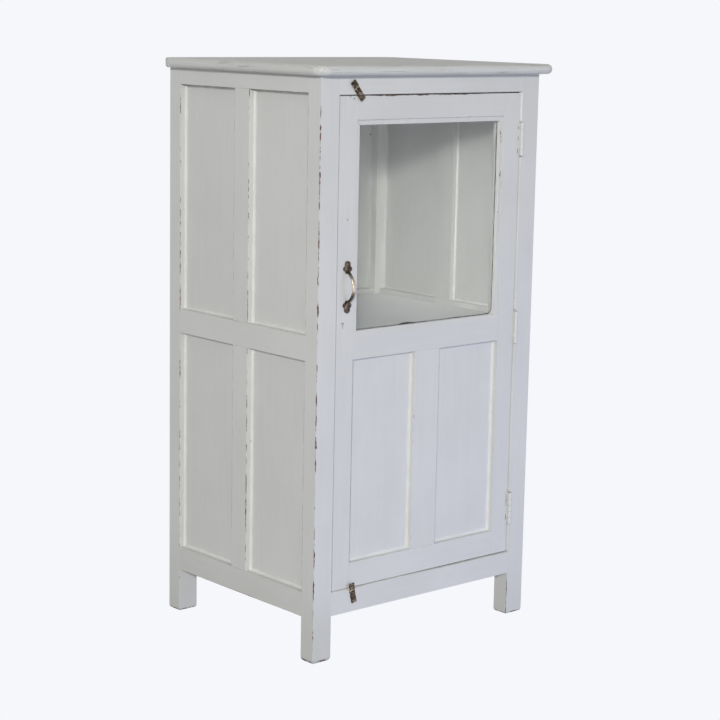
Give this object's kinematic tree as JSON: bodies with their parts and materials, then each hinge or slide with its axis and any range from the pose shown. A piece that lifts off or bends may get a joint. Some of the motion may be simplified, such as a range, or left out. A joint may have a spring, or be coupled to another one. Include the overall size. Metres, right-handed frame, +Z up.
{
  "type": "apothecary cabinet",
  "caption": "Tall painted wooden apothecary cabinet on legs, framed and panelled, with one hinged glazed door, a bow pull, a lock, turn buttons and an inner shelf.",
  "frame": {"origin": "on the floor, under the middle of the whole outline seen from above", "axes": "+Z up, the door faces -Y, +X to the right of a person facing the door"},
  "size_m": [0.706, 0.571, 1.3],
  "materials": {
    "painted_wood": "brushed chalk paint, lightly worn at the arrises",
    "painted_hinge": "painted over with the wood",
    "bronze": "dark antique bronze",
    "steel": "dull steel",
    "glass": "clear old sheet glass"
  },
  "bodies": {
    "cabinet": {"post_front_left": "painted_wood", "post_front_right": "painted_wood", "post_rear_left": "painted_wood", "post_rear_right": "painted_wood", "top_board": "painted_wood", "front_top_rail": "painted_wood", "front_bottom_rail": "painted_wood", "rear_top_rail": "painted_wood", "rear_mid_rail": "painted_wood", "rear_bottom_rail": "painted_wood", "left_top_rail": "painted_wood", "left_mid_rail": "painted_wood", "left_bottom_rail": "painted_wood", "right_top_rail": "painted_wood", "right_mid_rail": "painted_wood", "right_bottom_rail": "painted_wood", "left_muntins": "painted_wood", "right_muntins": "painted_wood", "rear_muntins": "painted_wood", "left_upper_panels": "painted_wood", "left_lower_panels": "painted_wood", "right_upper_panels": "painted_wood", "right_lower_panels": "painted_wood", "rear_upper_panels": "painted_wood", "rear_lower_panels": "painted_wood", "shelf": "painted_wood", "floor_board": "painted_wood", "board_bearers": "painted_wood", "bearer_screws": "steel", "top_cleats": "painted_wood", "top_screws": "steel", "door_stop": "painted_wood", "hinge_frame_leaves": "painted_hinge", "hinge_pins": "steel", "hinge_frame_screws": "steel", "strike_plate": "steel", "strike_screws": "steel", "turn_button_screws": "bronze"},
    "door": {"door_lock_stile": "painted_wood", "door_hinge_stile": "painted_wood", "door_top_rail": "painted_wood", "door_mid_rail": "painted_wood", "door_bottom_rail": "painted_wood", "door_muntin": "painted_wood", "door_left_panel": "painted_wood", "door_right_panel": "painted_wood", "door_glass": "glass", "front_glazing_beads": "painted_wood", "rear_glazing_beads": "painted_wood", "hinge_door_leaves": "painted_hinge", "hinge_door_screws": "steel", "handle": "bronze", "handle_screws": "bronze", "lock_case": "steel", "lock_screws": "steel"},
    "bolt": {"lock_bolt": "steel"},
    "top_button": {"top_turn_button": "bronze"},
    "bottom_button": {"bottom_turn_button": "bronze"}
  },
  "joints": [
    {"name": "door_hinge", "type": "hinge", "parent": "cabinet", "child": "door", "pos_m": [0.2715, -0.2576, 0.6958], "axis": [0, 0, 1], "range_deg": [0, 115]},
    {"name": "bolt_slide", "type": "slide", "parent": "door", "child": "bolt", "axis": [-1, 0, 0], "range_m": [0, 0.01]},
    {"name": "top_button_turn", "type": "hinge", "parent": "cabinet", "child": "top_button", "pos_m": [-0.225, -0.255, 1.2465], "axis": [0, 1, 0], "continuous": true},
    {"name": "bottom_button_turn", "type": "hinge", "parent": "cabinet", "child": "bottom_button", "pos_m": [-0.214, -0.255, 0.146], "axis": [0, 1, 0], "continuous": true}
  ]
}
